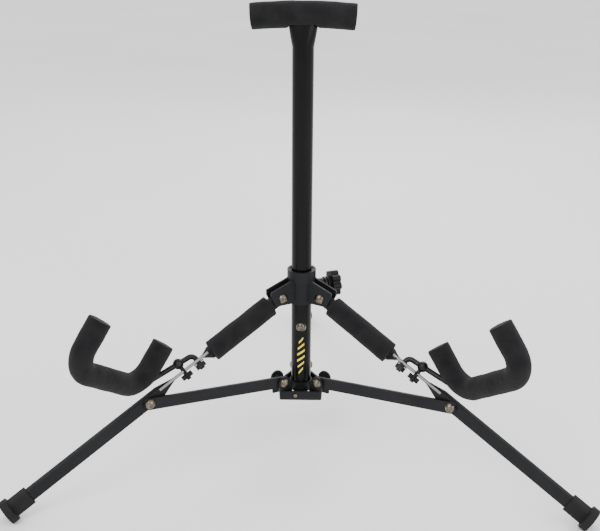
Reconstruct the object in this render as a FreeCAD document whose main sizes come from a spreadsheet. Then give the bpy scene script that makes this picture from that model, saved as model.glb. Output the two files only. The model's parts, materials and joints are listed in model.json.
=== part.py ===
import FreeCAD, Part
import math
import os
import Sketcher
from FreeCAD import Placement, Rotation, Vector

X_AXIS = Vector(1, 0, 0)
Y_AXIS = Vector(0, 1, 0)
Z_AXIS = Vector(0, 0, 1)

# Driving dimensions, in millimetres and degrees. Heights are above the floor, radii are from
# the mast's axis, and distances "along" a leg are from its upper pivot.
DIMENSIONS = {
    "mast_forward": 70.482,
    "mast_od": 19.05,
    "mast_wall": 1.2,
    "mast_bottom": 58.5,
    "flare_bottom": 387.0,
    "flare_middle": 396.0,
    "flare_top": 406.0,
    "head_height": 414.5,
    "head_width": 91.0,
    "head_arc_radius": 506.0,
    "head_foam_od": 22.8,
    "crossbar_od": 9.5,
    "pivot_radius": 22.5,
    "upper_pivot_height": 157.6,
    "lower_pivot_height": 70.7,
    "leg_dip": 29.1,
    "leg_depth": 12.6,
    "leg_width": 6.6,
    "leg_corner": 2.0,
    "leg_length": 299.0,
    "knee_along": 155.0,
    "strap_start": 92.0,
    "strap_end": 125.0,
    "strap_width": 14.0,
    "strap_thickness": 2.8,
    "strap_corner": 1.1,
    "strap_lift": 1.5,
    "strap_twist": 33.0,
    "flare_upper_start": 84.0,
    "flare_lower_end": 143.0,
    "foam_start": 13.0,
    "foam_end": 82.0,
    "leg_foam_od": 20.3,
    "strut_depth": 11.4,
    "strut_thickness": 2.5,
    "strut_gap": 0.4,
    "shank_diameter": 4.0,
    "pin_clearance": 0.05,
    "dome_radius": 4.8,
    "dome_height": 2.9,
    "flange_gap": 7.4,
    "flange_thickness": 2.0,
    "bracket_gap": 13.2,
    "bracket_bottom": 54.0,
    "hub_bottom": 57.5,
    "hub_wall": 1.4,
    "slot_reach": 40.0,
    "small_screw_diameter": 2.0,
    "small_screw_offset": 5.0,
    "bracket_wall": 2.0,
    "bracket_reach": 27.4,
    "collar_bottom": 149.6,
    "collar_shoulder": 171.0,
    "collar_top": 182.4,
    "collar_od": 24.6,
    "collar_ring_od": 27.2,
    "collar_bore": 22.4,
    "boss_od": 12.0,
    "boss_reach": 22.0,
    "clamp_height": 164.0,
    "clamp_azimuth": 20.0,
    "screw_od": 6.0,
    "knob_od": 25.0,
    "knob_start": 25.5,
    "knob_thickness": 11.0,
    "stop_height": 126.0,
    "foot_start": 283.0,
    "foot_flange_start": 301.0,
    "foot_flange_end": 307.5,
    "foot_flange_od": 22.4,
    "yoke_pivot": 98.0,
    "yoke_clamp": 113.5,
    "yoke_rod_od": 5.0,
    "yoke_foam_od": 20.4,
    "yoke_width": 95.0,
    "yoke_prong": 45.5,
    "yoke_bend": 21.0,
    "yoke_swing": 12.0,
    "star_nut_od": 11.0,
    "flare_middle_widening": 1.7,
    "flare_middle_narrowing": 0.8,
    "flare_top_widening": 3.3,
    "flare_top_narrowing": 2.4,
    "plug_length": 9.0,
    "saddle_clearance": 3.5,
    "saddle_bottom": 390.0,
    "crossbar_inset": 2.0,
    "stop_depth": 1.4,
    "stop_edge": 0.3,
    "cup_height": 9.0,
    "hub_height": 9.5,
    "ear_root": 9.0,
    "ear_lift": 1.0,
    "ear_radius": 6.5,
    "through": 30.0,
    "below": 1.0,
    "long_through": 60.0,
    "small_screw_hole": 15.0,
    "small_screw_head": 3.8,
    "small_screw_head_height": 1.2,
    "small_screw_length": 3.0,
    "flange_root": 10.0,
    "flange_lift": 1.5,
    "flange_toe": 7.5,
    "flange_reach": 12.6,
    "flange_edge_low": 11.0,
    "flange_edge_high": 16.0,
    "flange_top_rise": 4.0,
    "overshoot": 5.0,
    "boss_start": 11.5,
    "bushing_lift": 0.4,
    "knob_socket": 4.0,
    "screw_start": 10.0,
    "clamp_washer_od": 14.0,
    "clamp_washer_thickness": 1.6,
    "washer_gap": 0.5,
    "knob_scallop": 2.4,
    "knob_face": 3.0,
    "knob_lobe": 3.2,
    "knob_dish": 5.5,
    "knob_dish_depth": 1.2,
    "slot_clearance": 0.3,
    "rivet_play": 0.1,
    "boot_side_wall": 1.8,
    "boot_top_wall": 1.7,
    "boot_corner": 2.6,
    "core_extra": 10.0,
    "floor_size": 200.0,
    "floor_depth": 40.0,
    "hook_top": 6.6,
    "prong_cover": 3.0,
    "hardware_depth": 9.0,
    "hook_bend": 5.0,
    "stem_bend": 12.0,
    "branch_start": 2.0,
    "pivot_washer_od": 10.4,
    "pivot_washer_thickness": 1.0,
    "nut_circumradius": 4.9,
    "nut_height": 4.6,
    "nut_drop": 6.0,
    "clamp_ball_radius": 5.0,
    "star_scallop": 1.1,
    "star_lobe": 1.5,
    "star_drop": 5.6,
}

LEG_AZIMUTHS = {"left": 210.0, "right": 330.0, "rear": 90.0}
PATTERN_AZIMUTHS = (0, 120, 240)
# Side of each leg that its strut is on: +1 is anticlockwise seen from above.
STRUT_SIDES = {"left": 1, "right": -1, "rear": 1}
YOKE_SIDES = {"left": 1, "right": -1}
KNOB_LOBES = 8
# Nodes that hold several identical fasteners, and how many each holds.
FASTENER_SETS = {"base_rivets": 6, "collar_bolts": 3}
# Degrees of free travel past the yoke's limits in its arc slot.
SWING_MARGIN = 1.0
# The left yoke in its strap's frame: X along the leg, Y to its side, Z off the strap's face.
YOKE_INNER_BEND = Vector(154.6, 4.3, 13.4)
YOKE_ACROSS = Vector(0.350, 0.813, 0.462)
YOKE_PRONG = Vector(-0.906, 0.173, 0.386)

doc = FreeCAD.newDocument("guitar_stand")
sheet = doc.addObject("Spreadsheet::Sheet", "dims")
for row, (alias, number) in enumerate(DIMENSIONS.items(), start=1):
    sheet.set(f"A{row}", alias)
    sheet.set(f"B{row}", str(number))
    sheet.setAlias(f"B{row}", alias)
doc.recompute()

nodes = {}


def dim(alias):
    """A driving dimension as a number."""
    return float(getattr(sheet, alias))


def bind(target, **expressions):
    """Bind properties of an object to expressions of the sheet's aliases."""
    for name, expression in expressions.items():
        target.setExpression(name.replace("__", "."), expression)


def keep(piece, label, placement=None):
    """Register a finished piece under its node name, and put it in its place."""
    piece.Label = label
    if placement is not None:
        piece.Placement = placement
    nodes[label] = piece
    return piece


# ---------------------------------------------------------------- places

def mast_place(height=0.0, azimuth=0.0, radius=0.0):
    """A frame on the mast: X points outward at the azimuth, Z up."""
    outward = Rotation(Z_AXIS, azimuth)
    base = outward.multVec(Vector(radius, 0, height))
    return Placement(base + Vector(0, -dim("mast_forward"), 0), outward)


def leg_place(azimuth):
    """The leg's frame at its upper pivot: X runs down the leg, Z is normal to it."""
    return mast_place(dim("upper_pivot_height"), azimuth, dim("pivot_radius")) * Placement(
        Vector(0, 0, 0), Rotation(Y_AXIS, dim("leg_dip")))


def knee_place(azimuth):
    """The leg's frame moved down to the pivot that joins leg and strut."""
    return leg_place(azimuth) * Placement(Vector(dim("knee_along"), 0, 0), Rotation())


def strut_span():
    """Radial and vertical distance from the strut's lower pivot to the knee."""
    dip = math.radians(dim("leg_dip"))
    radial = dim("knee_along") * math.cos(dip)
    vertical = dim("upper_pivot_height") - dim("knee_along") * math.sin(dip) - dim("lower_pivot_height")
    return radial, vertical


def strut_place(azimuth):
    """The strut's frame at its lower pivot: X runs along the strut to the knee."""
    radial, vertical = strut_span()
    rise = math.degrees(math.atan2(vertical, radial))
    return mast_place(dim("lower_pivot_height"), azimuth, dim("pivot_radius")) * Placement(
        Vector(0, 0, 0), Rotation(Y_AXIS, -rise))


def strap_place(azimuth, side):
    """The twisted strap's frame: X down the leg, Z normal to the strap's face."""
    twist = Placement(Vector(0, 0, 0), Rotation(X_AXIS, side * dim("strap_twist")))
    lift = Placement(Vector(0, 0, dim("strap_lift")), Rotation())
    return leg_place(azimuth) * twist * lift


# ---------------------------------------------------------------- shapes

def cylinder(name, radius, height, base=Vector(0, 0, 0), axis=Z_AXIS):
    """A cylinder whose radius and height are expressions."""
    piece = doc.addObject("Part::Cylinder", name)
    bind(piece, Radius=radius, Height=height)
    piece.Placement = Placement(base, Rotation(Z_AXIS, axis))
    return piece


def box(name, length, width, height, base):
    """A box with expressions for its sides, centred on Y and Z, starting at base in X."""
    piece = doc.addObject("Part::Box", name)
    bind(piece, Length=length, Width=width, Height=height)
    doc.recompute()
    corner = base - Vector(0, piece.Width.Value / 2, piece.Height.Value / 2)
    piece.Placement = Placement(corner, Rotation())
    return piece


def fuse(name, *shapes):
    piece = doc.addObject("Part::MultiFuse", name)
    piece.Shapes = list(shapes)
    return piece


def cut(name, base, tool):
    piece = doc.addObject("Part::Cut", name)
    piece.Base = base
    piece.Tool = tool
    return piece


def new_body(name):
    return doc.addObject("PartDesign::Body", name)


def origin_feature(body, role):
    return next(item for item in body.Origin.OriginFeatures if item.Role == role)


def sketch_on(body, role, offset=Placement()):
    """An empty sketch on one of the body's own origin planes."""
    sketch = body.newObject("Sketcher::SketchObject", f"{body.Name}_outline")
    sketch.AttachmentSupport = (origin_feature(body, role), [""])
    sketch.MapMode = "FlatFace"
    sketch.AttachmentOffset = offset
    return sketch


def number(expression):
    """The value of an expression of the sheet's aliases."""
    result = sheet.evalExpression(expression)
    return float(getattr(result, "Value", result))


def polygon(sketch, corners):
    """A closed outline whose corners are pairs of expressions."""
    points = [Vector(number(across), number(up), 0) for across, up in corners]
    count = len(points)
    for index in range(count):
        sketch.addGeometry(Part.LineSegment(points[index], points[(index + 1) % count]), False)
    for index in range(count):
        sketch.addConstraint(Sketcher.Constraint("Coincident", index, 2, (index + 1) % count, 1))
    for index, (across, up) in enumerate(corners):
        for kind, expression in (("DistanceX", across), ("DistanceY", up)):
            constraint = Sketcher.Constraint(kind, -1, 1, index, 1, number(expression))
            place = sketch.addConstraint(constraint)
            sketch.setExpression(f"Constraints[{place}]", expression)


def circle(sketch, radius, centre=("0", "0")):
    """A circle whose radius and centre are expressions."""
    across, up = (number(item) for item in centre)
    round_edge = sketch.addGeometry(Part.Circle(Vector(across, up, 0), Z_AXIS, number(radius)), False)
    place = sketch.addConstraint(Sketcher.Constraint("Radius", round_edge, number(radius)))
    sketch.setExpression(f"Constraints[{place}]", radius)
    for kind, expression in (("DistanceX", centre[0]), ("DistanceY", centre[1])):
        constraint = Sketcher.Constraint(kind, -1, 1, round_edge, 3, number(expression))
        place = sketch.addConstraint(constraint)
        sketch.setExpression(f"Constraints[{place}]", expression)


def rounded_rectangle(sketch, width, depth, radius):
    """A rectangle with round corners, centred on the sketch's origin."""
    right, top = dim(width) / 2, dim(depth) / 2
    inner = Vector(right - radius, top - radius, 0)
    slant = radius * math.sqrt(0.5)
    signs = [(1, 1), (-1, 1), (-1, -1), (1, -1)]
    for index, (across, up) in enumerate(signs):
        centre = Vector(across * inner.x, up * inner.y, 0)
        side = centre + Vector(across * radius, 0, 0)
        cap = centre + Vector(0, up * radius, 0)
        middle = centre + Vector(across * slant, up * slant, 0)
        first, last = (side, cap) if across * up > 0 else (cap, side)
        sketch.addGeometry(Part.Arc(first, middle, last), False)
        turn_x, turn_y = signs[(index + 1) % 4]
        following = Vector(turn_x * inner.x, turn_y * inner.y, 0)
        if across == turn_x:
            following += Vector(turn_x * radius, 0, 0)
        else:
            following += Vector(0, turn_y * radius, 0)
        sketch.addGeometry(Part.LineSegment(last, following), False)


def pad(body, sketch, length, middle=False):
    feature = body.newObject("PartDesign::Pad", f"{body.Name}_pad")
    feature.Profile = sketch
    bind(feature, Length=length)
    feature.Midplane = middle
    return feature


def pocket(body, sketch, length, middle=False):
    """A pocket that has to remove material, or the build stops."""
    doc.recompute()
    before = body.Shape.Volume
    feature = body.newObject("PartDesign::Pocket", f"{body.Name}_pocket")
    feature.Profile = sketch
    bind(feature, Length=length)
    feature.Midplane = middle
    doc.recompute()
    if body.Shape.Volume >= before:
        feature.Reversed = True
        doc.recompute()
    if body.Shape.Volume >= before:
        raise RuntimeError(f"{body.Name}: the pocket cuts nothing")
    return feature


def revolve(body, sketch, axis="V_Axis"):
    feature = body.newObject("PartDesign::Revolution", f"{body.Name}_turned")
    feature.Profile = sketch
    feature.ReferenceAxis = (sketch, [axis])
    feature.Angle = 360
    return feature


def loft(body, first, *others):
    feature = body.newObject("PartDesign::AdditiveLoft", f"{body.Name}_loft")
    feature.Profile = first
    feature.Sections = list(others)
    return feature


def around_mast(body, features, count=3):
    """Repeat features evenly about the body's own Z axis."""
    doc.recompute()
    pattern = body.newObject("PartDesign::PolarPattern", f"{body.Name}_around")
    pattern.Originals = features
    pattern.Axis = (origin_feature(body, "Z_Axis"), [""])
    pattern.Angle = 360
    pattern.Occurrences = count
    body.Tip = pattern
    return pattern


def shifted(x=0.0, y=0.0, z=0.0, turn=0.0):
    """An attachment offset: a shift in the sketch's own frame and a turn about its normal."""
    return Placement(Vector(x, y, z), Rotation(Z_AXIS, turn))


def dome_arc(face, side=1, inward=False):
    """The arc of a round screw head that stands on a face, from its edge to its crown."""
    head, rise = dim("dome_radius"), dim("dome_height")
    ball = (head ** 2 + rise ** 2) / (2 * rise)
    half = math.asin(head / ball) / 2
    edge = Vector(head, face, 0)
    middle = Vector(ball * math.sin(half), face + side * (rise - ball + ball * math.cos(half)), 0)
    crown = Vector(0, face + side * rise, 0)
    return Part.Arc(crown, middle, edge) if inward else Part.Arc(edge, middle, crown)


def domed_profile(sketch, half_length, tail):
    """Half of a double-domed rivet about the sketch's vertical axis.

    The shank runs from -tail to half_length, with a dome over each end.
    """
    head, rise, shank = dim("dome_radius"), dim("dome_height"), dim("shank_diameter") / 2
    top, bottom = half_length, -tail
    outline = [
        Part.LineSegment(Vector(0, bottom - rise, 0), Vector(0, top + rise, 0)),
        dome_arc(top, inward=True),
        Part.LineSegment(Vector(head, top, 0), Vector(shank, top, 0)),
        Part.LineSegment(Vector(shank, top, 0), Vector(shank, bottom, 0)),
        Part.LineSegment(Vector(shank, bottom, 0), Vector(head, bottom, 0)),
        dome_arc(bottom, side=-1),
    ]
    for edge in outline:
        sketch.addGeometry(edge, False)


# ---------------------------------------------------------------- mast and head

def build_mast():
    """The upright tube, with its top pressed into a saddle under the head."""
    body = new_body("mast_body")
    outline = sketch_on(body, "XY_Plane", shifted(z=dim("mast_bottom")))
    circle(outline, "dims.mast_od / 2")
    circle(outline, "dims.mast_od / 2 - dims.mast_wall")
    pad(body, outline, "dims.flare_bottom - dims.mast_bottom")
    round_rim = sketch_on(body, "XY_Plane", shifted(z=dim("flare_bottom")))
    circle(round_rim, "dims.mast_od / 2")
    radius = dim("mast_od") / 2
    rims = []
    for level in ("flare_middle", "flare_top"):
        rim = sketch_on(body, "XY_Plane", shifted(z=dim(level)))
        oval = Part.Ellipse(Vector(0, 0, 0), radius + dim(f"{level}_widening"),
                            radius - dim(f"{level}_narrowing"))
        rim.addGeometry(oval, False)
        rims.append(rim)
    loft(body, round_rim, *rims)
    hole = cylinder("stop_hole", "dims.shank_diameter / 2", "dims.mast_od / 2",
                    Vector(0, 0, dim("stop_height")), Vector(0, -1, 0))
    drilled = cut("mast_tube_drilled", body, hole)
    keep(drilled, "mast_tube", mast_place())


def build_mast_end_plug():
    plug = cylinder("mast_end_plug_solid", "dims.mast_od / 2 - dims.mast_wall", "dims.plug_length",
                    Vector(0, 0, 0))
    keep(plug, "mast_end_plug", mast_place(dim("mast_bottom")))


def arched_bar(name, radius, length):
    """A bar along X, bent gently down at its ends, centred on the head's height."""
    bar = doc.addObject("Part::Torus", name)
    bind(bar, Radius1="dims.head_arc_radius", Radius2=radius,
         Angle3=f"({length}) / dims.head_arc_radius * 180 / pi")
    doc.recompute()
    start = Rotation(Z_AXIS, 90 - bar.Angle3.Value / 2)
    upright = Rotation(X_AXIS, 90)
    bar.Placement = Placement(Vector(0, 0, dim("head_height") - dim("head_arc_radius")), upright * start)
    return bar


def build_head():
    """The crossbar welded on the mast, and the foam sleeve over it."""
    saddle = cylinder("saddle_space", "dims.mast_od / 2 + dims.saddle_clearance",
                      "dims.flare_top - dims.saddle_bottom", Vector(0, 0, dim("saddle_bottom")))
    crossbar = arched_bar("crossbar_bar", "dims.crossbar_od / 2", "dims.head_width - 2 * dims.crossbar_inset")
    keep(crossbar, "head_crossbar", mast_place() * crossbar.Placement)
    sleeve = arched_bar("sleeve_bar", "dims.head_foam_od / 2", "dims.head_width")
    core = arched_bar("sleeve_core", "dims.crossbar_od / 2", "dims.head_width + 2 * dims.crossbar_inset")
    bored = cut("sleeve_bored", sleeve, core)
    keep(cut("sleeve_notched", bored, saddle), "head_foam", mast_place())


def build_stop_screw():
    """The domed screw in the mast's front that the collar comes down to."""
    body = new_body("stop_screw_body")
    sketch = sketch_on(body, "XZ_Plane")
    head, rise, shank = dim("dome_radius"), dim("dome_height"), dim("shank_diameter") / 2
    sunk, edge_height = -dim("stop_depth"), dim("stop_edge")
    for edge in (
        Part.LineSegment(Vector(0, sunk, 0), Vector(0, rise + edge_height, 0)),
        dome_arc(edge_height, inward=True),
        Part.LineSegment(Vector(head, edge_height, 0), Vector(head, 0.0, 0)),
        Part.LineSegment(Vector(head, 0.0, 0), Vector(shank, 0.0, 0)),
        Part.LineSegment(Vector(shank, 0.0, 0), Vector(shank, sunk, 0)),
        Part.LineSegment(Vector(shank, sunk, 0), Vector(0, sunk, 0)),
    ):
        sketch.addGeometry(edge, False)
    revolve(body, sketch)
    front = mast_place(dim("stop_height"), -90.0, dim("mast_od") / 2)
    keep(body, "stop_screw", front * Placement(Vector(0, 0, 0), Rotation(Y_AXIS, 90)))


# ---------------------------------------------------------------- base bracket

def bracket_corners(inset):
    """The bracket's six-sided plan: long sides between legs, short ones facing them.

    As in every other pattern around the mast, the rear leg's direction is +X here.
    """
    reach = dim("bracket_reach") - inset
    half_gap = dim("bracket_gap") / 2 + dim("bracket_wall") - inset * 0.6
    corners = []
    for azimuth in PATTERN_AZIMUTHS:
        turn = Rotation(Z_AXIS, azimuth)
        for side in (-1, 1):
            corners.append(turn.multVec(Vector(reach, side * half_gap, 0)))
    return corners


def polygon_points(sketch, points):
    for index, point in enumerate(points):
        sketch.addGeometry(Part.LineSegment(point, points[(index + 1) % len(points)]), False)


def slot_outline(sketch):
    """A three-armed star of slots that lets the struts' lower ends through."""
    half = dim("bracket_gap") / 2
    crotch = half / math.sin(math.radians(60))
    points = []
    for azimuth in PATTERN_AZIMUTHS:
        turn = Rotation(Z_AXIS, azimuth)
        points.append(turn.multVec(Vector(dim("slot_reach"), -half, 0)))
        points.append(turn.multVec(Vector(dim("slot_reach"), half, 0)))
        points.append(Rotation(Z_AXIS, azimuth + 60).multVec(Vector(crotch, 0, 0)))
    polygon_points(sketch, points)


def build_bracket():
    """The cup under the mast, with a pair of ears for each strut."""
    body = new_body("bracket_body")
    rim = sketch_on(body, "XY_Plane", shifted(z=dim("bracket_bottom")))
    polygon_points(rim, bracket_corners(0.0))
    pad(body, rim, "dims.cup_height")
    inside = sketch_on(body, "XY_Plane", shifted(z=dim("bracket_bottom") + dim("cup_height")))
    polygon_points(inside, bracket_corners(dim("bracket_wall")))
    pocket(body, inside, "dims.cup_height - dims.bracket_wall")
    block = sketch_on(body, "XY_Plane", shifted(z=dim("bracket_bottom")))
    circle(block, "dims.pivot_radius - dims.ear_root")
    pad(body, block, "dims.cup_height")
    slots = sketch_on(body, "XY_Plane", shifted(z=dim("bracket_bottom") - dim("below")))
    slot_outline(slots)
    pocket(body, slots, "dims.through")
    hub = sketch_on(body, "XY_Plane", shifted(z=dim("hub_bottom")))
    circle(hub, "dims.mast_od / 2 + dims.hub_wall")
    pad(body, hub, "dims.hub_height")
    ears = []
    for side in (-1, 1):
        centre = side * (dim("bracket_gap") / 2 + dim("bracket_wall") / 2)
        ear = sketch_on(body, "XZ_Plane", shifted(z=-centre))
        polygon(ear, [
            ("dims.pivot_radius - dims.ear_root", "dims.bracket_bottom + dims.ear_lift"),
            ("dims.bracket_reach", "dims.bracket_bottom + dims.ear_lift"),
            ("dims.bracket_reach + dims.ear_lift", "dims.lower_pivot_height"),
            ("dims.pivot_radius - dims.ear_radius", "dims.lower_pivot_height"),
        ])
        ears.append(pad(body, ear, "dims.bracket_wall", middle=True))
        lobe = sketch_on(body, "XZ_Plane", shifted(z=-centre))
        circle(lobe, "dims.ear_radius", ("dims.pivot_radius", "dims.lower_pivot_height"))
        ears.append(pad(body, lobe, "dims.bracket_wall", middle=True))
    around_mast(body, ears)
    bore = sketch_on(body, "XY_Plane", shifted(z=dim("bracket_bottom") - dim("below")))
    circle(bore, "dims.mast_od / 2")
    pocket(body, bore, "dims.long_through")
    pins = []
    for azimuth in PATTERN_AZIMUTHS:
        turn = Rotation(Z_AXIS, azimuth)
        start = Vector(dim("pivot_radius"), dim("through") / 2, dim("lower_pivot_height"))
        pins.append(cylinder(f"bracket_pin_hole_{azimuth}", "dims.shank_diameter / 2",
                             "dims.through", turn.multVec(start),
                             turn.multVec(Vector(0, -1, 0))))
    screw_hole = cylinder("bracket_screw_hole", "dims.small_screw_diameter / 2", "dims.small_screw_hole",
                          Vector(-dim("through"), dim("small_screw_offset"),
                                 dim("bracket_bottom") + dim("small_screw_offset")), X_AXIS)
    keep(cut("bracket_drilled", body, fuse("bracket_holes", screw_hole, *pins)), "base_bracket",
         mast_place(azimuth=LEG_AZIMUTHS["rear"]))


def domed_studs(body, radius, height, inner, outer):
    """A domed stud on each side of every leg's plane, from inner to outer and a head beyond."""
    shank, rise, head = dim("shank_diameter") / 2, dim("dome_height"), dim("dome_radius")
    studs = []
    for side in (-1, 1):
        sketch = sketch_on(body, "XY_Plane", shifted(x=radius, z=height))
        low, face, top = side * inner, side * outer, side * (outer + rise)
        for edge in (
            Part.LineSegment(Vector(0, low, 0), Vector(shank, low, 0)),
            Part.LineSegment(Vector(shank, low, 0), Vector(shank, face, 0)),
            Part.LineSegment(Vector(shank, face, 0), Vector(head, face, 0)),
            dome_arc(face, side),
            Part.LineSegment(Vector(0, top, 0), Vector(0, low, 0)),
        ):
            sketch.addGeometry(edge, False)
        studs.append(revolve(body, sketch))
    around_mast(body, studs)


def build_base_rivets():
    """A domed stud in each of the bracket's ears. They stop at the ears' inner faces."""
    body = new_body("base_rivets_body")
    inner = dim("bracket_gap") / 2
    domed_studs(body, dim("pivot_radius"), dim("lower_pivot_height"), inner, inner + dim("bracket_wall"))
    keep(body, "base_rivets", mast_place(azimuth=LEG_AZIMUTHS["rear"]))


def build_bracket_screw():
    """The small earth-tab screw on the bracket's front wall."""
    head = cylinder("bracket_screw_head", "dims.small_screw_head / 2",
                    "dims.small_screw_head_height")
    stem = cylinder("bracket_screw_stem", "dims.small_screw_diameter / 2", "dims.small_screw_length",
                    Vector(0, 0, -dim("small_screw_length")))
    screw = fuse("bracket_screw_solid", head, stem)
    wall = min(corner.x for corner in bracket_corners(0.0))
    front = Placement(Vector(-dim("small_screw_offset"), wall - dim("mast_forward"),
                             dim("bracket_bottom") + dim("small_screw_offset")),
                      Rotation(X_AXIS, 90))
    keep(screw, "bracket_screw", front)


# ---------------------------------------------------------------- collar and clamp

def clamp_place(radius=0.0):
    """A frame on the clamp screw's axis: Z points out of the collar."""
    return mast_place(dim("clamp_height"), dim("clamp_azimuth"), radius) * Placement(
        Vector(0, 0, 0), Rotation(Y_AXIS, 90))


def build_collar():
    """The sliding collar: hub, ring and three pairs of flanges, with the clamp's boss."""
    body = new_body("collar_body")
    hub = sketch_on(body, "XY_Plane", shifted(z=dim("collar_bottom")))
    circle(hub, "dims.collar_od / 2")
    pad(body, hub, "dims.collar_top - dims.collar_bottom - dims.below")
    ring = sketch_on(body, "XY_Plane", shifted(z=dim("collar_shoulder")))
    circle(ring, "dims.collar_ring_od / 2")
    pad(body, ring, "dims.collar_top - dims.collar_shoulder")
    flanges = []
    for side in (-1, 1):
        centre = side * (dim("flange_gap") / 2 + dim("flange_thickness") / 2)
        flange = sketch_on(body, "XZ_Plane", shifted(z=-centre))
        polygon(flange, [
            ("dims.flange_root", "dims.collar_bottom + dims.flange_lift"),
            ("dims.pivot_radius + dims.flange_toe", "dims.collar_bottom + dims.flange_lift"),
            ("dims.pivot_radius + dims.flange_reach", "dims.collar_bottom + dims.flange_edge_low"),
            ("dims.pivot_radius + dims.flange_reach", "dims.collar_bottom + dims.flange_edge_high"),
            ("dims.flange_root", "dims.collar_shoulder + dims.flange_top_rise"),
        ])
        flanges.append(pad(body, flange, "dims.flange_thickness", middle=True))
    around_mast(body, flanges)
    bore = sketch_on(body, "XY_Plane", shifted(z=dim("collar_bottom") - dim("overshoot")))
    circle(bore, "dims.collar_bore / 2")
    pocket(body, bore, "dims.long_through").Reversed = True
    doc.recompute()
    body.Placement = mast_place(azimuth=LEG_AZIMUTHS["rear"])
    boss = cylinder("clamp_boss", "dims.boss_od / 2", "dims.boss_reach - dims.boss_start")
    boss.Placement = clamp_place(dim("boss_start"))
    with_boss = fuse("collar_with_boss", body, boss)
    hole = cylinder("clamp_hole", "dims.screw_od / 2 + dims.pin_clearance", "dims.boss_reach")
    hole.Placement = clamp_place(dim("overshoot"))
    pins = []
    for name, azimuth in LEG_AZIMUTHS.items():
        pin = cylinder(f"collar_pin_hole_{name}", "dims.shank_diameter / 2", "dims.through")
        across = Placement(Vector(0, dim("through") / 2, 0), Rotation(X_AXIS, 90))
        pin.Placement = mast_place(dim("upper_pivot_height"), azimuth, dim("pivot_radius")) * across
        pins.append(pin)
    keep(cut("collar_drilled", with_boss, fuse("collar_holes", hole, *pins)), "collar")


def build_collar_bushing():
    """The nylon liner that the collar slides on, with a hole for the clamp screw."""
    outer = cylinder("bushing_outer", "dims.collar_bore / 2",
                     "dims.collar_top - dims.collar_bottom - 3 * dims.bushing_lift")
    inner = cylinder("bushing_inner", "dims.mast_od / 2 + dims.pin_clearance", "dims.long_through",
                     Vector(0, 0, -dim("overshoot")))
    tube = cut("bushing_tube", outer, inner)
    tube.Placement = mast_place(dim("collar_bottom") + dim("bushing_lift"))
    hole = cylinder("bushing_hole", "dims.screw_od / 2 + dims.pin_clearance", "dims.boss_reach")
    hole.Placement = clamp_place(dim("overshoot"))
    keep(cut("bushing_drilled", tube, hole), "collar_bushing")


def build_collar_bolts():
    """One double-domed pivot bolt through each pair of flanges and the leg between them."""
    body = new_body("collar_bolts_body")
    sketch = sketch_on(body, "XY_Plane", shifted(x=dim("pivot_radius"), z=dim("upper_pivot_height")))
    outer = dim("flange_gap") / 2 + dim("flange_thickness")
    domed_profile(sketch, outer, outer)
    around_mast(body, [revolve(body, sketch)])
    keep(body, "collar_bolts", mast_place(azimuth=LEG_AZIMUTHS["rear"]))


def build_clamp():
    """The clamp's screw, washer and lobed knob."""
    screw = cylinder("clamp_screw_solid", "dims.screw_od / 2",
                     "dims.knob_start + dims.knob_socket - dims.screw_start")
    keep(screw, "clamp_screw", clamp_place(dim("screw_start")))
    disc = cylinder("clamp_washer_disc", "dims.clamp_washer_od / 2", "dims.clamp_washer_thickness")
    eye = cylinder("clamp_washer_eye", "dims.screw_od / 2", "dims.overshoot", Vector(0, 0, -dim("below")))
    keep(cut("clamp_washer_ring", disc, eye), "clamp_washer",
         clamp_place(dim("boss_reach") + dim("washer_gap")))
    body = new_body("clamp_knob_body")
    neck = sketch_on(body, "XY_Plane")
    circle(neck, "dims.clamp_washer_od / 2")
    pad(body, neck, "dims.knob_socket")
    core = sketch_on(body, "XY_Plane", shifted(z=dim("knob_face")))
    circle(core, "dims.knob_od / 2 - dims.knob_scallop")
    pad(body, core, "dims.knob_thickness - dims.knob_face")
    lobe = sketch_on(body, "XY_Plane", shifted(z=dim("knob_face")))
    circle(lobe, "dims.knob_lobe", ("dims.knob_od / 2 - dims.knob_lobe", "0"))
    around_mast(body, [pad(body, lobe, "dims.knob_thickness - dims.knob_face")], KNOB_LOBES)
    socket = sketch_on(body, "XY_Plane", shifted(z=dim("knob_socket")))
    circle(socket, "dims.screw_od / 2")
    pocket(body, socket, "dims.knob_socket")
    dish = sketch_on(body, "XY_Plane", shifted(z=dim("knob_thickness")))
    circle(dish, "dims.knob_dish")
    pocket(body, dish, "dims.knob_dish_depth")
    keep(body, "clamp_knob", clamp_place(dim("knob_start")))


# ---------------------------------------------------------------- struts and legs

def build_strut(name):
    """A flat bar with round ends, drilled for the rivets at both."""
    radial, vertical = strut_span()
    length = math.hypot(radial, vertical)
    side = STRUT_SIDES[name]
    middle = side * (dim("leg_width") / 2 + dim("strut_gap") + dim("strut_thickness") / 2)
    low = middle - dim("strut_thickness") / 2
    bar = box(f"strut_bar_{name}", f"{length:.6f} mm", "dims.strut_thickness", "dims.strut_depth",
              Vector(0, middle, 0))
    across = Vector(0, 1, 0)
    ends = [cylinder(f"strut_end_{name}_{index}", "dims.strut_depth / 2", "dims.strut_thickness",
                     Vector(place, low, 0), across) for index, place in enumerate((0.0, length))]
    holes = [cylinder(f"strut_hole_{name}_{index}", "dims.shank_diameter / 2 + dims.pin_clearance",
                      "dims.through", Vector(place, low - dim("through") / 2, 0), across)
             for index, place in enumerate((0.0, length))]
    bar_with_ends = fuse(f"strut_outline_{name}", bar, *ends)
    keep(cut(f"strut_drilled_{name}", bar_with_ends, fuse(f"strut_holes_{name}", *holes)),
         f"strut_{name}", strut_place(LEG_AZIMUTHS[name]))


def leg_section(body, along):
    sketch = sketch_on(body, "YZ_Plane", shifted(z=along))
    rounded_rectangle(sketch, "leg_width", "leg_depth", dim("leg_corner"))
    return sketch


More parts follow.
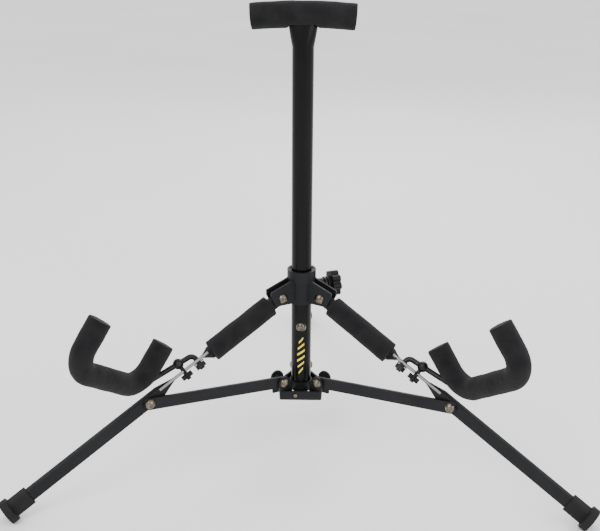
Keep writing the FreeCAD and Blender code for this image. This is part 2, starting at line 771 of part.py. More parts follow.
def strap_section(body, along, side):
    twist = side * dim("strap_twist")
    angle = math.radians(twist)
    lift = dim("strap_lift")
    offset = shifted(-lift * math.sin(angle), lift * math.cos(angle), along, twist)
    sketch = sketch_on(body, "YZ_Plane", offset)
    rounded_rectangle(sketch, "strap_width", "strap_thickness", dim("strap_corner"))
    return sketch


def yoke_slot(side):
    """The hole for the yoke's hook and the arc slot for its clamp, in the strap's frame."""
    reach = dim("yoke_clamp") - dim("yoke_pivot")
    half = dim("shank_diameter") / 2 + dim("slot_clearance")
    sweep = dim("yoke_swing") + math.degrees(half / reach) + SWING_MARGIN
    centre = clamp_swing()
    hook = Part.makeCylinder(dim("yoke_rod_od") / 2 + dim("pin_clearance"), dim("through"),
                             Vector(dim("yoke_pivot"), 0, -dim("through") / 2))
    outer = Part.makeCylinder(reach + half, dim("through"), Vector(0, 0, -dim("through") / 2), Z_AXIS,
                              2 * sweep)
    inner = Part.makeCylinder(reach - half, dim("through"), Vector(0, 0, -dim("through") / 2), Z_AXIS,
                              2 * sweep)
    slot = outer.cut(inner)
    slot.rotate(Vector(0, 0, 0), Z_AXIS, side * centre - sweep)
    slot.translate(Vector(dim("yoke_pivot"), 0, 0))
    tool = doc.addObject("Part::Feature", "yoke_slot")
    tool.Shape = Part.makeCompound([hook, slot])
    return tool


def build_leg(name):
    """A flat-sided tube, pressed and twisted into a strap where a yoke is clamped."""
    azimuth = LEG_AZIMUTHS[name]
    body = new_body(f"leg_body_{name}")
    if name in YOKE_SIDES:
        side = YOKE_SIDES[name]
        pad(body, leg_section(body, 0.0), "dims.flare_upper_start")
        loft(body, leg_section(body, dim("flare_upper_start")),
             strap_section(body, dim("strap_start"), side))
        pad(body, strap_section(body, dim("strap_start"), side), "dims.strap_end - dims.strap_start")
        loft(body, strap_section(body, dim("strap_end"), side),
             leg_section(body, dim("flare_lower_end")))
        pad(body, leg_section(body, dim("flare_lower_end")), "dims.leg_length - dims.flare_lower_end")
    else:
        pad(body, leg_section(body, 0.0), "dims.leg_length")
    end = sketch_on(body, "XZ_Plane")
    circle(end, "dims.leg_depth / 2")
    pad(body, end, "dims.leg_width", middle=True)
    for along, radius in ((0.0, "dims.shank_diameter / 2 + dims.pin_clearance"),
                          (dim("knee_along"), "dims.shank_diameter / 2")):
        hole = sketch_on(body, "XZ_Plane")
        circle(hole, radius, (f"{along} mm", "0"))
        pocket(body, hole, "dims.through", middle=True)
    if name not in YOKE_SIDES:
        keep(body, f"leg_{name}", leg_place(azimuth))
        return
    tool = yoke_slot(YOKE_SIDES[name])
    body.Placement = leg_place(azimuth)
    tool.Placement = strap_place(azimuth, YOKE_SIDES[name])
    keep(cut(f"leg_slotted_{name}", body, tool), f"leg_{name}")


def build_leg_foam(name):
    sleeve = cylinder(f"leg_foam_outer_{name}", "dims.leg_foam_od / 2", "dims.foam_end - dims.foam_start",
                      Vector(dim("foam_start"), 0, 0), X_AXIS)
    core = box(f"leg_foam_core_{name}", "dims.foam_end", "dims.leg_width", "dims.leg_depth",
               Vector(dim("overshoot"), 0, 0))
    keep(cut(f"leg_foam_sleeve_{name}", sleeve, core), f"leg_foam_{name}",
         leg_place(LEG_AZIMUTHS[name]))


def build_knee_rivet(name):
    """The rivet that joins strut and leg, with a dome over each side."""
    body = new_body(f"knee_rivet_body_{name}")
    sketch = sketch_on(body, "XY_Plane")
    outside = dim("leg_width") / 2 + dim("strut_gap") + dim("strut_thickness") + dim("rivet_play")
    domed_profile(sketch, outside, dim("leg_width") / 2)
    revolve(body, sketch)
    turn = Placement(Vector(0, 0, 0), Rotation(Z_AXIS, 0 if STRUT_SIDES[name] > 0 else 180))
    keep(body, f"knee_rivet_{name}", knee_place(LEG_AZIMUTHS[name]) * turn)


def build_foot(name):
    """A rubber boot: a sleeve over the leg's end and a disc that has worn flat on the floor."""
    sleeve = box(f"foot_sleeve_{name}", "dims.foot_flange_start - dims.foot_start + dims.below",
                 "dims.leg_width + 2 * dims.boot_side_wall",
                 "dims.leg_depth + 2 * dims.boot_top_wall", Vector(dim("foot_start"), 0, 0))
    edges = doc.addObject("Part::Fillet", f"foot_rounded_{name}")
    edges.Base = sleeve
    doc.recompute()
    corner = dim("boot_corner")
    edges.Edges = [(index, corner, corner) for index, edge in enumerate(sleeve.Shape.Edges, start=1)
                   if abs(edge.tangentAt(edge.FirstParameter).x) > 0.99]
    disc = cylinder(f"foot_disc_{name}", "dims.foot_flange_od / 2",
                    "dims.foot_flange_end - dims.foot_flange_start",
                    Vector(dim("foot_flange_start"), 0, 0), X_AXIS)
    boot = fuse(f"foot_boot_{name}", edges, disc)
    core = box(f"foot_core_{name}", "dims.leg_length - dims.foot_start + dims.core_extra", "dims.leg_width",
               "dims.leg_depth", Vector(dim("foot_start") - dim("core_extra"), 0, 0))
    # The floor, seen in the leg's own frame.
    dip = dim("leg_dip")
    meets = dim("upper_pivot_height") / math.sin(math.radians(dip))
    floor = doc.addObject("Part::Box", f"foot_floor_{name}")
    bind(floor, Length="dims.floor_size", Width="dims.floor_size", Height="dims.floor_depth")
    doc.recompute()
    centred = Vector(-dim("floor_size") / 2, -dim("floor_size") / 2, -dim("floor_depth"))
    tilt = Rotation(Y_AXIS, -dip)
    floor.Placement = Placement(Vector(meets, 0, 0) + tilt.multVec(centred), tilt)
    keep(cut(f"foot_cut_{name}", boot, fuse(f"foot_tools_{name}", core, floor)), f"foot_{name}",
         leg_place(LEG_AZIMUTHS[name]))


# ---------------------------------------------------------------- yokes

def rounded_path(points, radii):
    """Straight runs between the points, joined by tangent arcs of the given radii."""
    edges = []
    start = points[0]
    for index, radius in enumerate(radii, start=1):
        corner = points[index]
        back = (points[index - 1] - corner).normalize()
        ahead = (points[index + 1] - corner).normalize()
        half = back.getAngle(ahead) / 2
        setback = radius / math.tan(half)
        middle = Vector(back + ahead).normalize()
        centre_distance = radius / math.sin(half)
        first, last = corner + back * setback, corner + ahead * setback
        crest = corner + middle * (centre_distance - radius)
        edges.append(Part.LineSegment(start, first).toShape())
        edges.append(Part.Arc(first, crest, last).toShape())
        start = last
    edges.append(Part.LineSegment(start, points[-1]).toShape())
    return Part.Wire(edges)


def swept_bar(path, radius):
    """A round bar along a path."""
    start = path.Edges[0]
    direction = start.tangentAt(start.FirstParameter)
    profile = Part.Wire([Part.Circle(start.valueAt(start.FirstParameter), direction, radius).toShape()])
    return path.makePipeShell([profile], True, False)


def mirrored(point, side):
    return Vector(point.x, side * point.y, point.z)


def yoke_points(side):
    """The corners of a yoke in its strap's frame: hook, clamp, inner and outer bend, directions."""
    inner = mirrored(YOKE_INNER_BEND, side)
    across = mirrored(YOKE_ACROSS, side).normalize()
    prong = mirrored(YOKE_PRONG, side).normalize()
    outer = inner + across * dim("yoke_width")
    hook_top = Vector(dim("yoke_pivot"), 0, dim("hook_top"))
    return hook_top, inner, outer, prong


def clamp_swing():
    """Degrees from the leg's line to the yoke's stem, seen along the strap's normal."""
    hook_top, inner, _, _ = yoke_points(1)
    stem = inner - hook_top
    return math.degrees(math.atan2(stem.y, stem.x))


def clamp_point(side):
    """Where the clamp's eye holds the stem."""
    hook_top, inner, _, _ = yoke_points(side)
    stem = inner - hook_top
    reach = dim("yoke_clamp") - dim("yoke_pivot")
    return hook_top + stem * (reach / math.hypot(stem.x, stem.y))


def u_path(side, shorten):
    _, inner, outer, prong = yoke_points(side)
    tip = prong * (dim("yoke_prong") - shorten)
    return rounded_path([inner + tip, inner, outer, outer + tip], [dim("yoke_bend")] * 2)


def plain_feature(label, shape, placement):
    piece = doc.addObject("Part::Feature", f"{label}_solid")
    piece.Shape = shape
    return keep(piece, label, placement)


def build_yoke(name):
    """A bent rod with a hook end, its foam, and the hardware that holds it on the strap."""
    side = YOKE_SIDES[name]
    place = strap_place(LEG_AZIMUTHS[name], side)
    hook_top, inner, outer, prong = yoke_points(side)
    rod_radius = dim("yoke_rod_od") / 2
    tip = prong * (dim("yoke_prong") - dim("prong_cover"))
    foot_of_hook = Vector(dim("yoke_pivot"), 0, -dim("hardware_depth"))
    main = swept_bar(rounded_path([foot_of_hook, hook_top, inner, outer, outer + tip],
                                  [dim("hook_bend"), dim("stem_bend"), dim("yoke_bend")]), rod_radius)
    branch_line = Part.LineSegment(inner + prong * dim("branch_start"), inner + tip)
    branch = swept_bar(Part.Wire([branch_line.toShape()]), rod_radius)
    rod = main.fuse(branch)
    plain_feature(f"yoke_rod_{name}", rod, place)
    foam = swept_bar(u_path(side, 0.0), dim("yoke_foam_od") / 2)
    plain_feature(f"yoke_foam_{name}", foam.cut(rod), place)

    under = -dim("strap_thickness") / 2 - dim("slot_clearance")
    washer = cylinder(f"pivot_washer_disc_{name}", "dims.pivot_washer_od / 2", "dims.pivot_washer_thickness",
                      Vector(dim("yoke_pivot"), 0, under - dim("pivot_washer_thickness")))
    eye = cylinder(f"pivot_washer_eye_{name}", "dims.yoke_rod_od / 2", "dims.through",
                   Vector(dim("yoke_pivot"), 0, under - dim("through") / 2))
    keep(cut(f"pivot_washer_ring_{name}", washer, eye), f"yoke_pivot_washer_{name}", place)
    nut = doc.addObject("Part::Prism", f"pivot_nut_prism_{name}")
    nut.Polygon = 6
    bind(nut, Circumradius="dims.nut_circumradius", Height="dims.nut_height")
    nut.Placement.Base = Vector(dim("yoke_pivot"), 0, under - dim("nut_drop"))
    bore = cylinder(f"pivot_nut_bore_{name}", "dims.yoke_rod_od / 2", "dims.through",
                    Vector(dim("yoke_pivot"), 0, under - dim("through") / 2))
    keep(cut(f"pivot_nut_ring_{name}", nut, bore), f"yoke_pivot_nut_{name}", place)

    centre = clamp_point(side)
    ball = doc.addObject("Part::Sphere", f"clamp_ball_{name}")
    bind(ball, Radius="dims.clamp_ball_radius")
    ball.Placement.Base = centre
    shank = cylinder(f"clamp_shank_{name}", "dims.shank_diameter / 2",
                     f"{centre.z + dim('hardware_depth'):.4f} mm",
                     Vector(centre.x, centre.y, -dim("hardware_depth")))
    eye_bolt = fuse(f"clamp_bolt_{name}", ball, shank)
    stem_direction = (inner - hook_top).normalize()
    passage = cylinder(f"clamp_passage_{name}", "dims.yoke_rod_od / 2", "dims.through",
                       centre - stem_direction * (dim("through") / 2), stem_direction)
    keep(cut(f"clamp_bored_{name}", eye_bolt, passage), f"yoke_clamp_{name}", place)

    star = new_body(f"star_body_{name}")
    core = sketch_on(star, "XY_Plane")
    circle(core, "dims.star_nut_od / 2 - dims.star_scallop")
    pad(star, core, "dims.nut_height")
    lobe = sketch_on(star, "XY_Plane")
    circle(lobe, "dims.star_lobe", ("dims.star_nut_od / 2 - dims.star_lobe", "0"))
    around_mast(star, [pad(star, lobe, "dims.nut_height")], KNOB_LOBES)
    bore = sketch_on(star, "XY_Plane", shifted(z=dim("nut_height")))
    circle(bore, "dims.shank_diameter / 2 + dims.pin_clearance")
    pocket(star, bore, "dims.through")
    lowered = Placement(Vector(centre.x, centre.y, under - dim("star_drop")), Rotation())
    keep(star, f"yoke_star_nut_{name}", place * lowered)


# ---------------------------------------------------------------- build, check, write

build_mast()
build_mast_end_plug()
build_head()
build_stop_screw()
build_bracket()
build_base_rivets()
build_bracket_screw()
build_collar()
build_collar_bushing()
build_collar_bolts()
build_clamp()
for leg_name in LEG_AZIMUTHS:
    build_strut(leg_name)
    build_leg(leg_name)
    build_knee_rivet(leg_name)
    build_foot(leg_name)
for yoke_name in YOKE_SIDES:
    build_leg_foam(yoke_name)
    build_yoke(yoke_name)
doc.recompute()

for item in doc.Objects:
    if "Invalid" in item.State or "Error" in item.State:
        raise RuntimeError(f"{item.Label} did not recompute: {item.State}")
os.makedirs("parts", exist_ok=True)
for label, piece in nodes.items():
    shape = piece.Shape
    if shape.isNull() or not shape.isValid():
        raise RuntimeError(f"{label} has no valid shape")
    if len(shape.Solids) != FASTENER_SETS.get(label, 1):
        raise RuntimeError(f"{label} has come apart into {len(shape.Solids)} solids")
    shape.exportStep(f"parts/{label}.step")

whole = Part.makeCompound([piece.Shape for piece in nodes.values()]).optimalBoundingBox(False, True)
print("centre of the box in Y:", round((whole.YMin + whole.YMax) / 2, 3))
print("size:", *(round(side, 2) for side in (whole.XLength, whole.YLength, whole.ZLength)),
      "from", round(whole.ZMin, 3))
print(len(nodes), "nodes")
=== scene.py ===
import json
import math
from collections import namedtuple

import bmesh
import bpy
from mathutils import Matrix, Vector, noise


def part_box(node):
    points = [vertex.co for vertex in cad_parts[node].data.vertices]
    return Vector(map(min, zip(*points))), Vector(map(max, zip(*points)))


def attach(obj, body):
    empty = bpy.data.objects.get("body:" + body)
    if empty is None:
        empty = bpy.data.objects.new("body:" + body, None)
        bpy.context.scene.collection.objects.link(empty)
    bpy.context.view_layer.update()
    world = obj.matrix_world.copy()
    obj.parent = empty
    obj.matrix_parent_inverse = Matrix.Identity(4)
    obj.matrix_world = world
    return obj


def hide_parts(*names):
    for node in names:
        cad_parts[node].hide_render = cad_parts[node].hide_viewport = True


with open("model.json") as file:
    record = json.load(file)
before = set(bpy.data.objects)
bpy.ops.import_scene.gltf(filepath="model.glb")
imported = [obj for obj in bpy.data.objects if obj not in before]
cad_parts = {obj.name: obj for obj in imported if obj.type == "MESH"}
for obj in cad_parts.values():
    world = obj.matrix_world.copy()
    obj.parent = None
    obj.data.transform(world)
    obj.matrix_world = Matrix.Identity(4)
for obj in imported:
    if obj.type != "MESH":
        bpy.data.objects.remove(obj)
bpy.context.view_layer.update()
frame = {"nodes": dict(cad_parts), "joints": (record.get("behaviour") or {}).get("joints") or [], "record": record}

NODES = frame["nodes"]
RECORD = frame["record"]
JOINTS = {joint["name"]: joint for joint in frame["joints"]}
BODY_OF = {node: body for body, members in RECORD["behaviour"]["bodies"].items() for node in members}
SLOT_OF = {part["node"]: part["material_slot"] for part in RECORD["subparts"]}
SCENE = bpy.context.scene
MM = 0.001


def middle(node):
    low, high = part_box(node)
    return (low + high) / 2


MAST_AXIS = Vector((middle("mast_tube").x, middle("mast_tube").y, 0.0))
MAST_RADIUS = 19.05 * MM / 2


# ---------------------------------------------------------------- node helpers

# Shading only: how far sharp edges look rounded, and the rays spent on it.
EDGE_SOFTNESS = 0.35 * MM
EDGE_SAMPLES = 4

# The part of a noise field's range that nearly all of its values are in.
NOISE_LOW, NOISE_HIGH = 0.25, 0.75
# Noise under this gives a finish's dark colour.
DARK_UNTIL = 0.3

# One layer of bump: a height field, its depth in metres and its strength.
Relief = namedtuple("Relief", "height depth strength")


def new_material(name):
    """A material with a Principled shader: returns it, its node tree and the shader."""
    material = bpy.data.materials.new(name)
    material.use_nodes = True
    tree = material.node_tree
    shader = next(node for node in tree.nodes if node.type == "BSDF_PRINCIPLED")
    return material, tree, shader


def object_point(tree):
    """The surface point in the frame at rest. It moves with the piece."""
    return tree.nodes.new("ShaderNodeTexCoord").outputs["Object"]


def object_normal(tree):
    return tree.nodes.new("ShaderNodeTexCoord").outputs["Normal"]


def noise_field(tree, size, detail=3.0, stretch=(1.0, 1.0, 1.0)):
    """Noise whose grains are about `size` metres across, longer where stretch is under 1."""
    mapping = tree.nodes.new("ShaderNodeMapping")
    mapping.inputs["Scale"].default_value = stretch
    tree.links.new(object_point(tree), mapping.inputs["Vector"])
    field = tree.nodes.new("ShaderNodeTexNoise")
    field.inputs["Scale"].default_value = 1.0 / size
    field.inputs["Detail"].default_value = detail
    tree.links.new(mapping.outputs["Vector"], field.inputs["Vector"])
    return field.outputs["Fac"]


def cells(tree, size):
    """Rounded cells about `size` metres across: 0 at each centre."""
    field = tree.nodes.new("ShaderNodeTexVoronoi")
    field.inputs["Scale"].default_value = 1.0 / size
    tree.links.new(object_point(tree), field.inputs["Vector"])
    return field.outputs["Distance"]


def colour_shader(tree, shader, factor, dark, light, light_from):
    """Colours the surface from dark, under DARK_UNTIL of the factor, to light, over light_from."""
    node = tree.nodes.new("ShaderNodeValToRGB")
    tree.links.new(factor, node.inputs["Fac"])
    stops = ((DARK_UNTIL, dark), (light_from, light))
    for element, (position, colour) in zip(node.color_ramp.elements, stops):
        element.position = position
        element.color = (*colour, 1.0)
    tree.links.new(node.outputs["Color"], shader.inputs["Base Color"])


def roughen(tree, shader, factor, smooth, rough):
    """Spreads the surface's roughness from smooth to rough over the factor's usual values."""
    node = tree.nodes.new("ShaderNodeMapRange")
    node.inputs["From Min"].default_value = NOISE_LOW
    node.inputs["From Max"].default_value = NOISE_HIGH
    node.inputs["To Min"].default_value = smooth
    node.inputs["To Max"].default_value = rough
    tree.links.new(factor, node.inputs["Value"])
    tree.links.new(node.outputs["Result"], shader.inputs["Roughness"])


def arithmetic(tree, operation, first, second=0.0):
    """A math node. Each input is another node's output or a number."""
    node = tree.nodes.new("ShaderNodeMath")
    node.operation = operation
    for socket, value in zip(node.inputs, (first, second)):
        if isinstance(value, (int, float)):
            socket.default_value = value
        else:
            tree.links.new(value, socket)
    return node.outputs["Value"]


def both(tree, first, second):
    """1 where both factors are 1."""
    return arithmetic(tree, "MULTIPLY", first, second)


def along(tree, vector, direction):
    """The vector's component along a direction."""
    node = tree.nodes.new("ShaderNodeVectorMath")
    node.operation = "DOT_PRODUCT"
    node.inputs[1].default_value = direction
    tree.links.new(vector, node.inputs[0])
    return node.outputs["Value"]


def distance_past(tree, start, direction):
    """How far the surface point is past `start` along a direction, in metres."""
    return arithmetic(tree, "SUBTRACT", along(tree, object_point(tree), direction), start.dot(direction))


def bump(tree, shader, *reliefs):
    """Stacked bumps on softened edges."""
    edges = tree.nodes.new("ShaderNodeBevel")
    edges.samples = EDGE_SAMPLES
    edges.inputs["Radius"].default_value = EDGE_SOFTNESS
    normal = edges.outputs["Normal"]
    for relief in reliefs:
        node = tree.nodes.new("ShaderNodeBump")
        node.inputs["Distance"].default_value = relief.depth
        node.inputs["Strength"].default_value = relief.strength
        tree.links.new(relief.height, node.inputs["Height"])
        tree.links.new(normal, node.inputs["Normal"])
        normal = node.outputs["Normal"]
    tree.links.new(normal, shader.inputs["Normal"])


# ---------------------------------------------------------------- materials

# Each coating's colours, least and most roughness, and the strength of its orange peel.
FRAME_COATING = {
    "dark": (0.0050, 0.0053, 0.0063),
    "light": (0.0080, 0.0084, 0.0098),
    "smooth": 0.40,
    "rough": 0.54,
    "peel": 0.5,
}
MAST_COATING = {
    "dark": (0.0012, 0.0012, 0.0016),
    "light": (0.0026, 0.0026, 0.0032),
    "smooth": 0.22,
    "rough": 0.34,
    "peel": 0.25,
}

# The shader's specular level for each black finish, where 0.5 is usual.
PAINT_GLOSS = 0.17
MAST_GLOSS = 0.11
FOAM_GLOSS = 0.10

# The mast's thin clear coat.
MAST_COAT = 0.05
MAST_COAT_ROUGHNESS = 0.15

# The faint sheen of dust on the foam.
FOAM_SHEEN = 0.04
FOAM_SHEEN_ROUGHNESS = 0.6

# The strap between its two flares, in metres down the leg from the collar's pivot.
STRAP_START = 86 * MM
STRAP_END = 141 * MM
# Half the thickness of the strap's edge that gets bright bare steel: a painted highlight for the edge's glint, and
# also worn paint.
STRAP_CORE = 1.1 * MM
# How nearly a face has to look sideways, from 0 to 1, to count as the strap's edge.
EDGE_FACING = 0.75
# Paint is left in patches of this size, where the noise is under this level.
CHIP_SIZE = 5 * MM
CHIP_LEVEL = 0.36
# Bright bare steel on the strap's edges: a painted highlight for the edge's glint, and also paint worn off.
GLINT_AND_BARE_STEEL = (0.24, 0.24, 0.235, 1.0)


def powder_coat(name, dark, light, smooth, rough, peel):
    """Baked paint: orange peel, faint cloudiness and a few handling marks."""
    material, tree, shader = new_material(name)
    shader.inputs["Specular IOR Level"].default_value = PAINT_GLOSS
    cloud = noise_field(tree, 30 * MM, detail=2.0)
    colour_shader(tree, shader, cloud, dark, light, light_from=0.7)
    marks = noise_field(tree, 6 * MM, detail=6.0, stretch=(1.0, 1.0, 0.12))
    roughen(tree, shader, marks, smooth, rough)
    bump(tree, shader,
         Relief(noise_field(tree, 0.9 * MM), depth=0.05 * MM, strength=peel),
         Relief(noise_field(tree, 3.5 * MM), depth=0.04 * MM, strength=peel))
    return material, tree, shader


def frame_paint():
    return powder_coat("frame_paint", **FRAME_COATING)[0]


def mast_paint():
    material, _, shader = powder_coat("mast_paint", **MAST_COATING)
    shader.inputs["Specular IOR Level"].default_value = MAST_GLOSS
    shader.inputs["Coat Weight"].default_value = MAST_COAT
    shader.inputs["Coat Roughness"].default_value = MAST_COAT_ROUGHNESS
    return material


def edge_glint_and_wear(tree, side):
    """1 on the bright steel along the edges of a leg's pressed strap, which is a painted highlight for the edge's
    glint and also worn paint, and 0 on its paint.
    """
    hip = Vector(JOINTS[f"leg_{side}_turn"]["pos_m"])
    knee = Vector(JOINTS[f"strut_{side}_turn"]["pos_m"])
    pivot = Vector(JOINTS[f"yoke_{side}_swing"]["pos_m"])
    off_strap = Vector(JOINTS[f"yoke_{side}_swing"]["axis"]).normalized()
    down_leg = (knee - hip).normalized()
    across = off_strap.cross(down_leg).normalized()

    place = distance_past(tree, hip, down_leg)
    on_strap = both(tree, arithmetic(tree, "GREATER_THAN", place, STRAP_START),
                    arithmetic(tree, "LESS_THAN", place, STRAP_END))
    sideways = arithmetic(tree, "ABSOLUTE", along(tree, object_normal(tree), across))
    on_edge = arithmetic(tree, "GREATER_THAN", sideways, EDGE_FACING)
    level = arithmetic(tree, "ABSOLUTE", distance_past(tree, pivot, off_strap))
    in_core = arithmetic(tree, "LESS_THAN", level, STRAP_CORE)
    chipped = arithmetic(tree, "GREATER_THAN", noise_field(tree, CHIP_SIZE), CHIP_LEVEL)
    return both(tree, both(tree, both(tree, on_strap, on_edge), in_core), chipped)


def strap_paint(side):
    """The frame's paint on a leg, with bright steel on the edges of the pressed strap: a painted highlight for the
    edge's glint, and also paint worn off.
    """
    material, tree, shader = powder_coat(f"leg_paint_{side}", **FRAME_COATING)
    # Painted highlight and worn bare steel along the strap's edges, mixed over the paint.
    glint_and_bare = edge_glint_and_wear(tree, side)
    paint = shader.inputs["Base Color"].links[0].from_socket
    glint_and_wear_mix = tree.nodes.new("ShaderNodeMix")
    glint_and_wear_mix.data_type = "RGBA"
    tree.links.new(glint_and_bare, glint_and_wear_mix.inputs["Factor"])
    tree.links.new(paint, glint_and_wear_mix.inputs["A"])
    glint_and_wear_mix.inputs["B"].default_value = GLINT_AND_BARE_STEEL
    tree.links.new(glint_and_wear_mix.outputs["Result"], shader.inputs["Base Color"])
    tree.links.new(glint_and_bare, shader.inputs["Metallic"])
    return material


def foam():
    """Closed-cell foam rubber with its fine skin: pores, soft dents and a dusty bloom."""
    material, tree, shader = new_material("foam")
    dust = noise_field(tree, 14 * MM, detail=5.0)
    colour_shader(tree, shader, dust, dark=(0.0050, 0.0050, 0.0056), light=(0.0115, 0.0115, 0.0125),
                  light_from=0.75)
    roughen(tree, shader, noise_field(tree, 4 * MM), smooth=0.86, rough=0.98)
    shader.inputs["Sheen Weight"].default_value = FOAM_SHEEN
    shader.inputs["Sheen Roughness"].default_value = FOAM_SHEEN_ROUGHNESS
    shader.inputs["Specular IOR Level"].default_value = FOAM_GLOSS
    bump(tree, shader,
         Relief(cells(tree, 0.9 * MM), depth=0.12 * MM, strength=0.55),
         Relief(noise_field(tree, 2.6 * MM, detail=6.0), depth=0.15 * MM, strength=0.5))
    return material


def moulded(name, dark, light, smooth, rough, grain):
    """Moulded plastic or rubber with a fine grain of `grain` metres."""
    material, tree, shader = new_material(name)
    shader.inputs["Specular IOR Level"].default_value = PAINT_GLOSS
    cloud = noise_field(tree, 9 * MM, detail=4.0)
    colour_shader(tree, shader, cloud, dark, light, light_from=0.75)
    roughen(tree, shader, cloud, smooth, rough)
    bump(tree, shader, Relief(noise_field(tree, grain, detail=2.0), depth=0.05 * MM, strength=0.5))
    return material


def metal(name, dark, light, smooth, rough, metallic):
    """Plated or oxidised steel with fine handling scratches."""
    material, tree, shader = new_material(name)
    shader.inputs["Metallic"].default_value = metallic
    stain = noise_field(tree, 3 * MM, detail=5.0)
    colour_shader(tree, shader, stain, dark, light, light_from=0.72)
    scratches = noise_field(tree, 1.2 * MM, detail=4.0, stretch=(1.0, 0.2, 1.0))
    roughen(tree, shader, scratches, smooth, rough)
    bump(tree, shader, Relief(scratches, depth=0.02 * MM, strength=0.35))
    return material


def accent_paint():
    """Screen-printed yellow ink."""
    material, tree, shader = new_material("accent_ink")
    speckle = noise_field(tree, 1.1 * MM, detail=5.0)
    colour_shader(tree, shader, speckle, dark=(0.62, 0.52, 0.01), light=(0.80, 0.70, 0.03),
                  light_from=0.6)
    roughen(tree, shader, speckle, smooth=0.38, rough=0.5)
    bump(tree, shader, Relief(speckle, depth=0.02 * MM, strength=0.3))
    return material


def floor_paint():
    """The studio's pale, faintly uneven floor."""
    material, tree, shader = new_material("studio_floor")
    tone = noise_field(tree, 0.6, detail=1.0)
    colour_shader(tree, shader, tone, dark=(0.86, 0.86, 0.86), light=(0.90, 0.90, 0.90), light_from=0.7)
    roughen(tree, shader, tone, smooth=0.75, rough=0.85)
    return material


FINISHES = {
    "foam": foam(),
    "foot_rubber": moulded("foot_rubber", dark=(0.0065, 0.0065, 0.0070), light=(0.0115, 0.0115, 0.0120),
                           smooth=0.6, rough=0.75, grain=0.5 * MM),
    "rivet_steel": metal("rivet_steel", dark=(0.055, 0.045, 0.034), light=(0.22, 0.19, 0.15),
                         smooth=0.2, rough=0.34, metallic=1.0),
    "knob_plastic": moulded("knob_plastic", dark=(0.0035, 0.0035, 0.0038), light=(0.0070, 0.0070, 0.0074),
                            smooth=0.38, rough=0.5, grain=0.4 * MM),
    "nylon": moulded("nylon", dark=(0.015, 0.015, 0.015), light=(0.025, 0.025, 0.025),
                     smooth=0.4, rough=0.5, grain=0.6 * MM),
    "mast_paint": mast_paint(),
    "black_hardware": metal("black_hardware", dark=(0.008, 0.008, 0.009), light=(0.022, 0.022, 0.024),
                            smooth=0.26, rough=0.42, metallic=0.7),
    "frame_paint": frame_paint(),
}


def dress(piece, material):
    piece.data.materials.clear()
    piece.data.materials.append(material)


# ---------------------------------------------------------------- foam

FOAM_VOXEL = 0.8 * MM
FOAM_ROUNDING = 6
FOAM_ROUNDING_STRENGTH = 0.5
LUMP_SIZE, LUMP_HEIGHT = 14 * MM, 0.35 * MM
DIMPLE_SIZE, DIMPLE_HEIGHT = 3.5 * MM, 0.12 * MM
# How far apart each foam's dents are taken from the noise, so that no two are alike.
SEED_STEP = (0.37, 0.61, 0.83)


def softened(node):
    """A new fine mesh in a CAD foam's place, with its cut edges rounded over."""
    piece = bpy.data.objects.new(f"{node}_soft", NODES[node].data.copy())
    SCENE.collection.objects.link(piece)
    remesh = piece.modifiers.new("even", "REMESH")
    remesh.mode = "VOXEL"
    remesh.voxel_size = FOAM_VOXEL
    relax = piece.modifiers.new("round", "SMOOTH")
    relax.factor = FOAM_ROUNDING_STRENGTH
    relax.iterations = FOAM_ROUNDING
    graph = bpy.context.evaluated_depsgraph_get()
    shaped = bpy.data.meshes.new_from_object(piece.evaluated_get(graph))
    piece.modifiers.clear()
    piece.data = shaped
    return piece


def dent(piece, seed):
    """Soft lumps and shallow dents, as foam takes from use, along the surface normals."""
    offset = Vector([seed * step for step in SEED_STEP])
    normals = [vertex.normal.copy() for vertex in piece.data.vertices]
    for vertex, normal in zip(piece.data.vertices, normals):
        lumps = noise.noise(vertex.co / LUMP_SIZE + offset) * LUMP_HEIGHT
        dimples = noise.noise(vertex.co / DIMPLE_SIZE + offset) * DIMPLE_HEIGHT
        vertex.co += normal * (lumps + dimples)
    for polygon in piece.data.polygons:
        polygon.use_smooth = True


def make_foams():
    nodes = sorted(node for node, slot in SLOT_OF.items() if slot == "foam")
    for seed, node in enumerate(nodes, start=1):
        piece = softened(node)
        dent(piece, seed)
        dress(piece, FINISHES["foam"])
        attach(piece, BODY_OF[node])
        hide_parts(node)


# ---------------------------------------------------------------- printed accent

ACCENT_BARS = 6
ACCENT_BOTTOM = 80 * MM
ACCENT_PITCH = 6.4 * MM
ACCENT_WIDTH = 2.2 * MM
ACCENT_SLANT = 2.6 * MM
ACCENT_STEPS = 10
ACCENT_THICKNESS = 0.06 * MM
# Degrees round the mast from a bar's middle to its end: the least, and how much the swell adds.
ACCENT_REACH = 9
ACCENT_SWELL = 13
# The mast's front, as an angle round it.
FRONT = math.radians(-90)


def make_accent():
    """A column of slanted bars printed on the mast's front, widest in the column's middle."""
    mesh = bmesh.new()
    radius = MAST_RADIUS + ACCENT_THICKNESS
    for index in range(ACCENT_BARS):
        centre = ACCENT_BOTTOM + index * ACCENT_PITCH
        swell = math.sin(math.pi * (index + 0.5) / ACCENT_BARS)
        half_angle = math.radians(ACCENT_REACH + ACCENT_SWELL * swell)
        columns = []
        for step in range(ACCENT_STEPS + 1):
            share = 2 * step / ACCENT_STEPS - 1
            angle = FRONT + share * half_angle
            height = centre + share * ACCENT_SLANT
            point = MAST_AXIS + Vector((math.cos(angle) * radius, math.sin(angle) * radius, height))
            columns.append([mesh.verts.new(point + Vector((0, 0, lift)))
                            for lift in (-ACCENT_WIDTH / 2, ACCENT_WIDTH / 2)])
        for left, right in zip(columns, columns[1:]):
            mesh.faces.new((left[0], right[0], right[1], left[1]))
    data = bpy.data.meshes.new("mast_accent")
    mesh.to_mesh(data)
    mesh.free()
    piece = bpy.data.objects.new("mast_accent", data)
    SCENE.collection.objects.link(piece)
    dress(piece, accent_paint())
    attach(piece, "mast")


# ---------------------------------------------------------------- studio

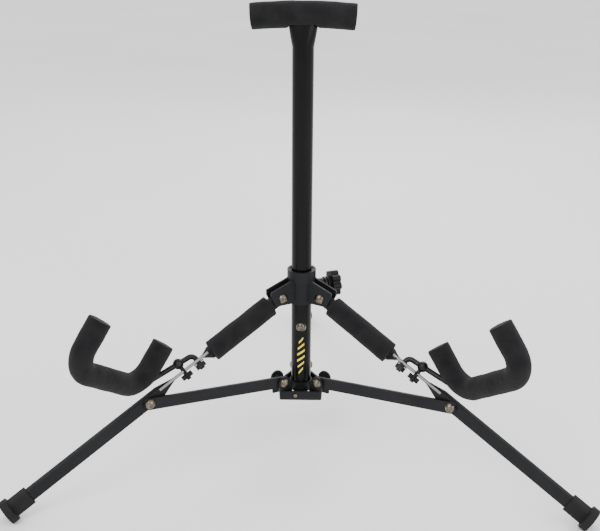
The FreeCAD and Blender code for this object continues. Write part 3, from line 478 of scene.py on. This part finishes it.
# The photograph's viewpoint, from a perspective fit of the mast, pivots and feet. The aim is
# measured from the mast's axis on the floor, before the yaw.
CAMERA_AIM = Vector((-1.55, 0.0, 185.29)) * MM
CAMERA_DISTANCE_MM = 863.58
CAMERA_ELEVATION = math.radians(20.24)
CAMERA_YAW = math.radians(0.69)
CAMERA_ROLL = math.radians(0.36)
CAMERA_LENS = 54.996
CAMERA_SENSOR = 36.0
CAMERA_NEAREST = 0.01

FLOOR_HALF_SIZE = 8.0
FLOOR_DROP = 0.2 * MM

WORLD_STRENGTH = 1.5
WORLD_COLOUR = (1.0, 1.0, 1.0, 1.0)
# Each lamp's name, place, size in metres and power in watts.
LAMPS = (
    ("key", (-0.9, -1.3, 1.6), 1.2, 22.0),
    ("fill", (1.3, -1.0, 0.9), 1.0, 12.0),
    ("rim", (0.3, 1.4, 1.3), 0.8, 12.0),
)
# Where on the mast's axis the lamps point.
LAMP_TARGET_HEIGHT = 0.2


def make_camera():
    view = Vector((0, math.cos(CAMERA_ELEVATION), -math.sin(CAMERA_ELEVATION)))
    yaw = Matrix.Rotation(CAMERA_YAW, 3, "Z")
    aim = yaw @ CAMERA_AIM + MAST_AXIS
    eye = yaw @ (CAMERA_AIM - view * CAMERA_DISTANCE_MM * MM) + MAST_AXIS
    data = bpy.data.cameras.new("camera")
    data.sensor_width = CAMERA_SENSOR
    data.lens = CAMERA_LENS
    data.clip_start = CAMERA_NEAREST
    camera = bpy.data.objects.new("camera", data)
    SCENE.collection.objects.link(camera)
    upright = (aim - eye).to_track_quat("-Z", "Y").to_matrix()
    roll = Matrix.Rotation(CAMERA_ROLL, 3, "Z")
    camera.matrix_world = Matrix.Translation(eye) @ (upright @ roll).to_4x4()
    SCENE.camera = camera


def make_floor():
    mesh = bmesh.new()
    bmesh.ops.create_grid(mesh, x_segments=1, y_segments=1, size=FLOOR_HALF_SIZE)
    data = bpy.data.meshes.new("floor")
    mesh.to_mesh(data)
    mesh.free()
    floor = bpy.data.objects.new("floor", data)
    floor.location.z = -FLOOR_DROP
    SCENE.collection.objects.link(floor)
    dress(floor, floor_paint())


def soft_light(name, place, size, power):
    """A large square lamp aimed at the middle of the stand."""
    data = bpy.data.lights.new(name, "AREA")
    data.size = size
    data.energy = power
    lamp = bpy.data.objects.new(name, data)
    SCENE.collection.objects.link(lamp)
    lamp.location = place
    target = MAST_AXIS + Vector((0, 0, LAMP_TARGET_HEIGHT))
    lamp.rotation_mode = "QUATERNION"
    lamp.rotation_quaternion = (target - lamp.location).to_track_quat("-Z", "Y")


def make_light():
    world = bpy.data.worlds.new("studio")
    world.use_nodes = True
    background = world.node_tree.nodes["Background"]
    background.inputs["Color"].default_value = WORLD_COLOUR
    background.inputs["Strength"].default_value = WORLD_STRENGTH
    SCENE.world = world
    for lamp in LAMPS:
        soft_light(*lamp)


# ---------------------------------------------------------------- put together

make_camera()
make_light()
make_floor()
for node, piece in NODES.items():
    dress(piece, FINISHES[SLOT_OF[node]])
for leg_side in ("left", "right"):
    dress(NODES[f"leg_{leg_side}"], strap_paint(leg_side))
make_foams()
make_accent()
